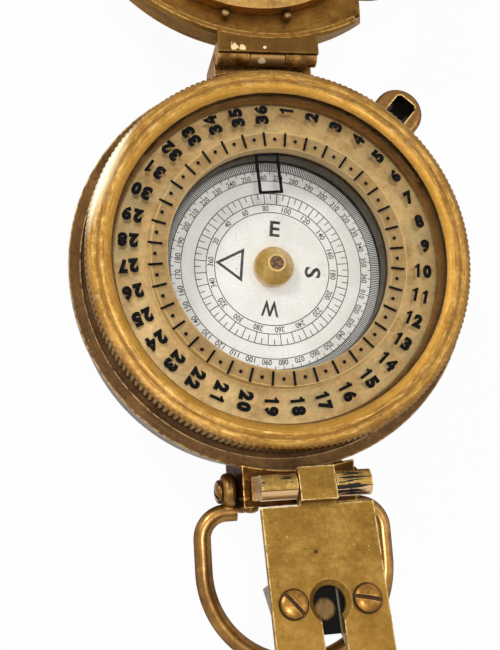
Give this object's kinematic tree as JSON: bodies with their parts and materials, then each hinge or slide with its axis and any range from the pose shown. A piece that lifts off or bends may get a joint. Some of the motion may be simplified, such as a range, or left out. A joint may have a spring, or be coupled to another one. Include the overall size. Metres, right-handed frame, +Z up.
{
  "type": "folding prismatic compass",
  "caption": "Pocket sighting compass: round case, floating card, turning milled bezel, hinged window lid, folding sight prism on a slide, and a thumb ring.",
  "frame": {"origin": "centre of the underside of the round case", "axes": "+Z up, square to the dial; +Y towards the lid hinge; +X to the right"},
  "size_m": [0.062, 0.155, 0.0343],
  "materials": {
    "case_brass": "brown antique patina, satin, with bright worn edges",
    "dark_brass": "dark brown patina, dull",
    "gold_brass": "turned and worn golden, satin",
    "polished_brass": "polished, lightly scratched",
    "lid_brass": "brushed golden brown inside, brown patina outside",
    "dial_brass": "pale matt khaki-tan lacquer",
    "olive_brass": "flat brushed, mottled olive gold",
    "screw_brass": "coppery brown, satin",
    "needle_steel": "bright drawn wire",
    "magnet_steel": "dull grey",
    "card_white": "printed white, matt",
    "jewel_red": "synthetic jewel, polished",
    "clear_glass": "clear, flat, polished"
  },
  "bodies": {
    "case": {"case_body": "case_brass", "dial_ring": "dial_brass", "inner_glass": "clear_glass", "inner_glass_ring": "dark_brass", "pivot_post": "gold_brass", "pivot_needle": "needle_steel", "bezel_wire": "needle_steel", "lanyard_lug": "case_brass", "lid_hinge_bracket": "dark_brass", "lid_hinge_pin": "gold_brass", "prism_bracket": "case_brass", "bracket_cover": "case_brass", "cover_screws": "screw_brass", "ring_screws": "screw_brass"},
    "bezel": {"bezel_ring": "gold_brass", "bezel_glass": "clear_glass", "bezel_glass_ring": "dark_brass"},
    "card": {"compass_card": "card_white", "card_cup": "polished_brass", "cup_jewel": "jewel_red", "bar_magnet": "magnet_steel"},
    "lid": {"lid_shell": "lid_brass", "lid_glass": "clear_glass", "lid_glass_ring": "gold_brass", "lid_studs": "screw_brass"},
    "slide": {"prism_slide": "polished_brass", "prism_hinge_pin": "gold_brass"},
    "prism": {"prism_plate": "olive_brass", "prism_housing": "olive_brass", "sight_prism": "clear_glass", "prism_screws": "screw_brass", "eye_lens": "clear_glass", "eye_lens_ring": "gold_brass"},
    "ring": {"thumb_ring": "case_brass"}
  },
  "joints": [
    {"name": "bezel_turn", "type": "hinge", "parent": "case", "child": "bezel", "pos_m": [0, 0, 0.02], "axis": [0, 0, 1], "continuous": true},
    {"name": "card_turn", "type": "hinge", "parent": "case", "child": "card", "pos_m": [0, 0, 0.0135], "axis": [0, 0, 1], "continuous": true},
    {"name": "lid_hinge", "type": "hinge", "parent": "case", "child": "lid", "pos_m": [0, 0.0325, 0.0197], "axis": [1, 0, 0], "range_deg": [0, 180]},
    {"name": "slide_travel", "type": "slide", "parent": "case", "child": "slide", "axis": [0, 0, 1], "range_m": [-0.0025, 0]},
    {"name": "prism_hinge", "type": "hinge", "parent": "slide", "child": "prism", "pos_m": [0, -0.0335, 0.0293], "axis": [-1, 0, 0], "range_deg": [0, 167.7]},
    {"name": "ring_swing", "type": "hinge", "parent": "case", "child": "ring", "pos_m": [0, -0.0335, 0.015], "axis": [-1, 0, 0], "range_deg": [-105, 25]}
  ]
}
